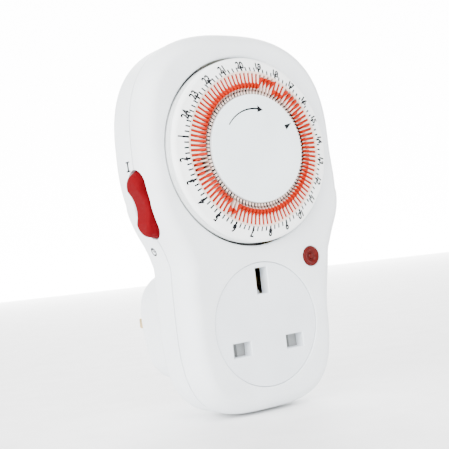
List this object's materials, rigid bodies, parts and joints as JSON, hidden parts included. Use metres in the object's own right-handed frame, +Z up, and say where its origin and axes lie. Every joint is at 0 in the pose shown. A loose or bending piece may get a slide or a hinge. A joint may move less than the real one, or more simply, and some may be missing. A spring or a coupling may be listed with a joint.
{
  "type": "plug-in timer switch",
  "caption": "Plug-in mechanical timer switch with a 24 hour dial of tilting tappets, a front socket, a side override rocker and a rear plug",
  "frame": {"origin": "on the rear face of the plug housing, midway between the two line pins", "axes": "+X right seen from the front, +Y backwards out of the plug face, +Z up"},
  "size_m": [0.0833, 0.0793, 0.1315],
  "materials": {
    "casing": "satin white",
    "plate": "satin pale grey",
    "shutter": "matt",
    "brass": "drawn",
    "black": "matt",
    "steel": "plated",
    "lens": "clear red",
    "glass": "clear",
    "resistor": "lacquered",
    "plate_metal": "zinc plated",
    "motor": "satin",
    "gear": "matt",
    "carrier": "satin",
    "ring": "satin",
    "tappet": "satin",
    "disc": "satin",
    "lever": "matt",
    "rocker": "satin"
  },
  "bodies": {
    "casing": {"front_casing": "casing", "rear_casing": "casing", "casing_screws": "steel", "socket_plate": "plate", "shutter_spring": "steel", "neutral_pin": "brass", "live_pin": "brass", "earth_pin": "brass", "neutral_sleeve": "black", "live_sleeve": "black", "neutral_bar": "brass", "earth_bar": "brass", "live_bar_in": "brass", "live_bar_out": "brass", "indicator_lens": "lens", "indicator_lamp": "glass", "lamp_resistor": "resistor", "gear_plate": "plate_metal", "plate_screws": "steel", "motor_can": "motor", "centre_disc": "disc", "switch_body": "black"},
    "dial": {"dial_gear": "gear", "tappet_carrier": "carrier", "number_ring": "ring", "tappet_wire": "steel", "tappets_off": "tappet"},
    "gearwheel": {"reduction_gear": "gear"},
    "rotor": {"motor_pinion": "gear"},
    "shutter_slide": {"shutter": "shutter"},
    "plunger": {"switch_plunger": "rocker"},
    "lever": {"switch_lever": "lever"},
    "rocker": {"override_rocker": "rocker"},
    "set_tappet_1": {"tappet_1": "tappet"},
    "set_tappet_2": {"tappet_2": "tappet"},
    "set_tappet_3": {"tappet_3": "tappet"},
    "set_tappet_4": {"tappet_4": "tappet"},
    "set_tappet_5": {"tappet_5": "tappet"},
    "set_tappet_6": {"tappet_6": "tappet"},
    "set_tappet_7": {"tappet_7": "tappet"},
    "set_tappet_8": {"tappet_8": "tappet"},
    "set_tappet_9": {"tappet_9": "tappet"},
    "set_tappet_10": {"tappet_10": "tappet"},
    "set_tappet_11": {"tappet_11": "tappet"},
    "set_tappet_12": {"tappet_12": "tappet"},
    "set_tappet_13": {"tappet_13": "tappet"},
    "set_tappet_14": {"tappet_14": "tappet"},
    "set_tappet_15": {"tappet_15": "tappet"},
    "set_tappet_16": {"tappet_16": "tappet"}
  },
  "joints": [
    {"name": "dial_turn", "type": "hinge", "parent": "casing", "child": "dial", "pos_m": [0, -0.05, 0.058], "axis": [0, -1, 0], "continuous": true},
    {"name": "reduction_turn", "type": "hinge", "parent": "casing", "child": "gearwheel", "pos_m": [0, -0.05, 0.0796], "axis": [0, -1, 0], "continuous": true},
    {"name": "motor_turn", "type": "hinge", "parent": "casing", "child": "rotor", "pos_m": [0.01157, -0.05, 0.06581], "axis": [0, -1, 0], "continuous": true},
    {"name": "shutter_drop", "type": "slide", "parent": "casing", "child": "shutter_slide", "axis": [0, 0, -1], "range_m": [0, 0.006], "stiffness_N_per_m": 30, "deforming": ["shutter_spring"]},
    {"name": "lever_press", "type": "hinge", "parent": "casing", "child": "lever", "pos_m": [0.013, -0.0444, 0.0355], "axis": [0, -1, 0], "range_deg": [0, 2.5], "stiffness_Nm_per_rad": 0.001, "springref_deg": -2.86},
    {"name": "plunger_press", "type": "slide", "parent": "casing", "child": "plunger", "axis": [0, 0, -1], "range_m": [0, 0.00092]},
    {"name": "rocker_tilt", "type": "hinge", "parent": "casing", "child": "rocker", "pos_m": [-0.03302, -0.0402, 0.0435], "axis": [0, 1, 0], "range_deg": [-6, 6]},
    {"name": "tappet_1_tilt", "type": "hinge", "parent": "dial", "child": "set_tappet_1", "pos_m": [-0.02264, -0.0509, 0.05527], "axis": [0.1197, 0, -0.9928], "range_deg": [-32, 0]},
    {"name": "tappet_2_tilt", "type": "hinge", "parent": "dial", "child": "set_tappet_2", "pos_m": [-0.02241, -0.0509, 0.0538], "axis": [0.1844, 0, -0.9829], "range_deg": [-32, 0]},
    {"name": "tappet_3_tilt", "type": "hinge", "parent": "dial", "child": "set_tappet_3", "pos_m": [-0.02209, -0.0509, 0.05234], "axis": [0.2483, 0, -0.9687], "range_deg": [-32, 0]},
    {"name": "tappet_4_tilt", "type": "hinge", "parent": "dial", "child": "set_tappet_4", "pos_m": [-0.02167, -0.0509, 0.05091], "axis": [0.3111, 0, -0.9504], "range_deg": [-32, 0]},
    {"name": "tappet_5_tilt", "type": "hinge", "parent": "dial", "child": "set_tappet_5", "pos_m": [-0.01287, -0.0509, 0.03918], "axis": [0.8254, 0, -0.5646], "range_deg": [-32, 0]},
    {"name": "tappet_6_tilt", "type": "hinge", "parent": "dial", "child": "set_tappet_6", "pos_m": [-0.01161, -0.0509, 0.03838], "axis": [0.8605, 0, -0.5094], "range_deg": [-32, 0]},
    {"name": "tappet_7_tilt", "type": "hinge", "parent": "dial", "child": "set_tappet_7", "pos_m": [0.02167, -0.0509, 0.06509], "axis": [-0.3111, 0, 0.9504], "range_deg": [-32, 0]},
    {"name": "tappet_8_tilt", "type": "hinge", "parent": "dial", "child": "set_tappet_8", "pos_m": [0.01824, -0.0509, 0.07168], "axis": [-0.6001, 0, 0.7999], "range_deg": [-32, 0]},
    {"name": "tappet_9_tilt", "type": "hinge", "parent": "dial", "child": "set_tappet_9", "pos_m": [0.0173, -0.0509, 0.07285], "axis": [-0.6511, 0, 0.759], "range_deg": [-32, 0]},
    {"name": "tappet_10_tilt", "type": "hinge", "parent": "dial", "child": "set_tappet_10", "pos_m": [0.0163, -0.0509, 0.07395], "axis": [-0.6994, 0, 0.7148], "range_deg": [-32, 0]},
    {"name": "tappet_11_tilt", "type": "hinge", "parent": "dial", "child": "set_tappet_11", "pos_m": [0.01522, -0.0509, 0.07498], "axis": [-0.7446, 0, 0.6675], "range_deg": [-32, 0]},
    {"name": "tappet_12_tilt", "type": "hinge", "parent": "dial", "child": "set_tappet_12", "pos_m": [0.01408, -0.0509, 0.07594], "axis": [-0.7867, 0, 0.6174], "range_deg": [-32, 0]},
    {"name": "tappet_13_tilt", "type": "hinge", "parent": "dial", "child": "set_tappet_13", "pos_m": [0.00895, -0.0509, 0.07897], "axis": [-0.9197, 0, 0.3927], "range_deg": [-32, 0]},
    {"name": "tappet_14_tilt", "type": "hinge", "parent": "dial", "child": "set_tappet_14", "pos_m": [0.00756, -0.0509, 0.07951], "axis": [-0.9434, 0, 0.3317], "range_deg": [-32, 0]},
    {"name": "tappet_15_tilt", "type": "hinge", "parent": "dial", "child": "set_tappet_15", "pos_m": [0.00614, -0.0509, 0.07996], "axis": [-0.963, 0, 0.2693], "range_deg": [-32, 0]},
    {"name": "tappet_16_tilt", "type": "hinge", "parent": "dial", "child": "set_tappet_16", "pos_m": [0.00469, -0.0509, 0.08031], "axis": [-0.9786, 0, 0.2058], "range_deg": [-32, 0]}
  ],
  "couplings": [
    {"joint": "reduction_turn", "follows": "dial_turn", "ratio": -5},
    {"joint": "motor_turn", "follows": "dial_turn", "ratio": 20},
    {"joint": "plunger_press", "follows": "lever_press", "m_per_rad": 0.021}
  ]
}
